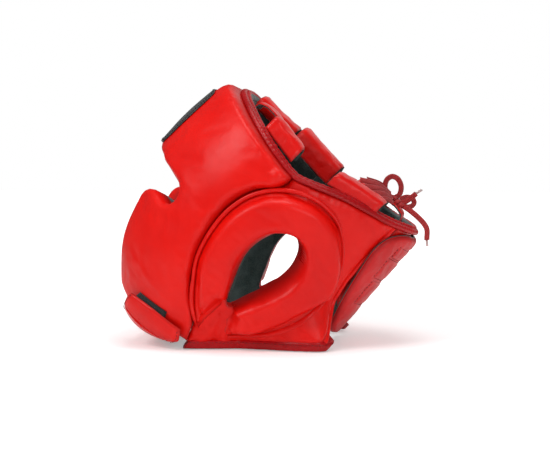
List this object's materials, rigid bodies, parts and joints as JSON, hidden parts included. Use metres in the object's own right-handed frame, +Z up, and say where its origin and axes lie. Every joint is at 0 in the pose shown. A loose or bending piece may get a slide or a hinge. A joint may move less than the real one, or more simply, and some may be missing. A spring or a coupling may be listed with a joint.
{
  "type": "boxing headgear",
  "caption": "Open-face padded boxing headgear with cheek guards, raised ear pads, laced crown, rear flap and chin strap, resting tipped back.",
  "frame": {"origin": "centre of the bounding box's footprint on the plane the headgear rests on (Z = 0)", "axes": "The row frame is the resting pose of the empty headgear, tipped back 43 degrees onto its two neck hems. +Z is up, -Y is the way the face opening looks over the ground, +X is the wearer's left. Turning the row +43 degrees about +X (right-hand rule) brings it upright as worn."},
  "size_m": [0.2228, 0.3104, 0.262],
  "materials": {
    "red_leather": "smooth glossy cowhide with fine grain",
    "binding_leather": "thin crimson binding leather, glossy",
    "lining": "dark slate suede-like lining",
    "foam": "closed-cell foam, matt",
    "black_patch": "black leather, fine grain",
    "hook_and_loop": "black hook-and-loop tape",
    "lace": "flat woven red lace"
  },
  "bodies": {
    "shell": {"chin_loop_patch": "hook_and_loop", "chin_strap_root": "red_leather", "crown_lace": "lace", "face_cover": "red_leather", "face_lining": "lining", "forehead_foam": "foam", "forehead_patch": "black_patch", "front_tab": "red_leather", "lace_bow": "lace", "left_cheek_foam": "foam", "left_ear_hole_binding": "binding_leather", "left_ear_pad_cover": "red_leather", "left_ear_pad_foam": "foam", "left_front_tab": "red_leather", "left_hem_binding": "binding_leather", "left_rear_binding": "binding_leather", "left_rear_loop_patch": "hook_and_loop", "left_rear_tab": "red_leather", "left_rear_tongue": "red_leather", "left_rim_binding": "binding_leather", "left_side_cover": "red_leather", "left_side_foam": "foam", "left_side_lining": "lining", "rear_bridge": "red_leather", "rear_bridge_lining": "lining", "rear_tab": "red_leather", "right_cheek_foam": "foam", "right_ear_hole_binding": "binding_leather", "right_ear_pad_cover": "red_leather", "right_ear_pad_foam": "foam", "right_front_tab": "red_leather", "right_hem_binding": "binding_leather", "right_middle_tab": "red_leather", "right_rear_binding": "binding_leather", "right_rear_loop_patch": "hook_and_loop", "right_rear_tab": "red_leather", "right_rear_tongue": "red_leather", "right_rim_binding": "binding_leather", "right_side_cover": "red_leather", "right_side_foam": "foam", "right_side_lining": "lining"},
    "rear_flap": {"left_hook_patch": "hook_and_loop", "rear_flap_cover": "red_leather", "rear_flap_foam": "foam", "rear_flap_lining": "lining", "right_hook_patch": "hook_and_loop"},
    "chin_strap": {"chin_strap": "red_leather"},
    "chin_strap_end": {"chin_strap_end": "red_leather"}
  },
  "joints": [
    {"name": "rear_flap_swing", "type": "hinge", "parent": "shell", "child": "rear_flap", "pos_m": [0, 0.14264, 0.09777], "axis": [1, 0, 0], "range_deg": [0, 110]},
    {"name": "chin_strap_swing", "type": "hinge", "parent": "shell", "child": "chin_strap", "pos_m": [-0.086, -0.12077, 0.02057], "axis": [0, 0.7956, -0.6058], "range_deg": [0, 180]},
    {"name": "chin_strap_peel", "type": "hinge", "parent": "chin_strap", "child": "chin_strap_end", "pos_m": [0.086, -0.12077, 0.02057], "axis": [0, 0.7956, -0.6058], "range_deg": [0, 75]}
  ]
}
